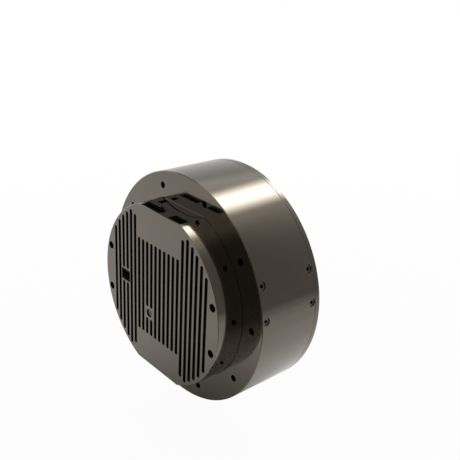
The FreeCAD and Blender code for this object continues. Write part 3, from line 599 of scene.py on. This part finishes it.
def studio_floor():
    """Plain pale floor under the object, which keeps a soft shadow."""
    floor = rectangle("floor", 2 * floor_reach, 2 * floor_reach,
                      Matrix.Translation((0, 0, floor_height)))
    material, tree, place = new_material("pale_floor")
    paint = add(tree, "ShaderNodeBsdfDiffuse", None, Color=colour("#e6e6e4"))
    rays = add(tree, "ShaderNodeLightPath").outputs
    level = add(tree, "ShaderNodeMapRange", None, Value=rays["Is Camera Ray"],
                To_Min=floor_in_metal, To_Max=1.0).outputs[0]
    white = add(tree, "ShaderNodeEmission", None, Color=(1, 1, 1, 1), Strength=level)
    away = add(tree, "ShaderNodeVectorMath", {"operation": "LENGTH"}, i0=place)
    own = add(tree, "ShaderNodeMapRange", None, Value=away.outputs["Value"],
              From_Min=floor_fade[0], From_Max=floor_fade[1], To_Min=floor_own_light,
              To_Max=1.0).outputs[0]
    share = add(tree, "ShaderNodeMath", {"operation": "MULTIPLY"}, i0=seen_directly(tree),
                i1=own).outputs[0]
    both = add(tree, "ShaderNodeMixShader", None, Fac=share, i1=paint.outputs[0],
               i2=white.outputs[0])
    add(tree, "ShaderNodeOutputMaterial", None, Surface=both.outputs[0])
    floor.data.materials.append(material)


def aimed(azimuth, height, away):
    """Place and turn of a panel that faces the object."""
    a, h = math.radians(azimuth), math.radians(height)
    towards = Vector((math.sin(a) * math.cos(h), -math.cos(a) * math.cos(h), math.sin(h)))
    turn = towards.to_track_quat("Z", "Y").to_matrix().to_4x4()
    return Matrix.Translation(towards * away) @ turn


def studio_lamps():
    """Soft rectangular lamps, each facing the object; the metal sees the panels instead."""
    for name, azimuth, height, away, width, length, brightness in lamps:
        light = bpy.data.lights.new(name, "AREA")
        light.shape = "RECTANGLE"
        light.size = width
        light.size_y = length
        light.energy = brightness * math.pi * width * length
        lamp = put_in_scene(name, light, aimed(azimuth, height, away))
        lamp.visible_glossy = False


def soft_panel(name, width, length, brightness, shares, stand):
    """Panel that fades out towards its edges and is seen in the metal alone."""
    panel = rectangle(name, width, length, stand)
    panel.visible_camera = False
    panel.visible_diffuse = False
    panel.visible_shadow = False
    material, tree, place = new_material(name)
    parts = add(tree, "ShaderNodeSeparateXYZ", None, Vector=place).outputs
    share = 1.0
    for axis, half, even in (("X", width / 2, shares[0]), ("Y", length / 2, shares[1])):
        off = add(tree, "ShaderNodeMath", {"operation": "ABSOLUTE"}, i0=parts[axis]).outputs[0]
        fade = add(tree, "ShaderNodeMapRange", {"interpolation_type": "SMOOTHSTEP"}, Value=off,
                   From_Min=half * even, From_Max=half, To_Min=1.0, To_Max=0.0).outputs[0]
        share = add(tree, "ShaderNodeMath", {"operation": "MULTIPLY"}, i0=share,
                    i1=fade).outputs[0]
    clear = add(tree, "ShaderNodeBsdfTransparent")
    glow = add(tree, "ShaderNodeEmission", None, Color=(1, 1, 1, 1), Strength=brightness)
    both = add(tree, "ShaderNodeMixShader", None, Fac=share, i1=clear.outputs[0],
               i2=glow.outputs[0])
    add(tree, "ShaderNodeOutputMaterial", None, Surface=both.outputs[0])
    panel.data.materials.append(material)


def studio_panels():
    """Strip, screens and cloths that shape what the metal mirrors, and painted shadow of the part
    on the floor.
    """
    for name, azimuth, height, away, width, length, brightness, *shares in panels:
        soft_panel(name, width, length, brightness, shares, aimed(azimuth, height, away))
    for level, row in enumerate(floor_panels, 1):
        name, x, y, turn, width, length, brightness, *shares = row
        stand = (Matrix.Translation((x, y, floor_height + level * floor_panel_lift))
                 @ Matrix.Rotation(math.radians(turn), 4, "Z"))
        soft_panel(name, width, length, brightness, shares, stand)


def studio_camera():
    """Camera with a slight roll, high and to the right of the cover."""
    camera = bpy.data.cameras.new("camera")
    camera.lens = camera_lens
    camera.sensor_width = camera_sensor
    camera.clip_start = camera_clip
    turn = (Matrix.Rotation(camera_heading, 4, "Z")
            @ Matrix.Rotation(math.radians(90) + camera_pitch, 4, "X")
            @ Matrix.Rotation(camera_roll, 4, "Z"))
    view = put_in_scene("camera", camera, Matrix.Translation(camera_spot) @ turn)
    bpy.context.scene.camera = view


studio_world()
studio_floor()
studio_lamps()
studio_panels()
studio_camera()
bpy.context.scene.view_settings.view_transform = "Standard"
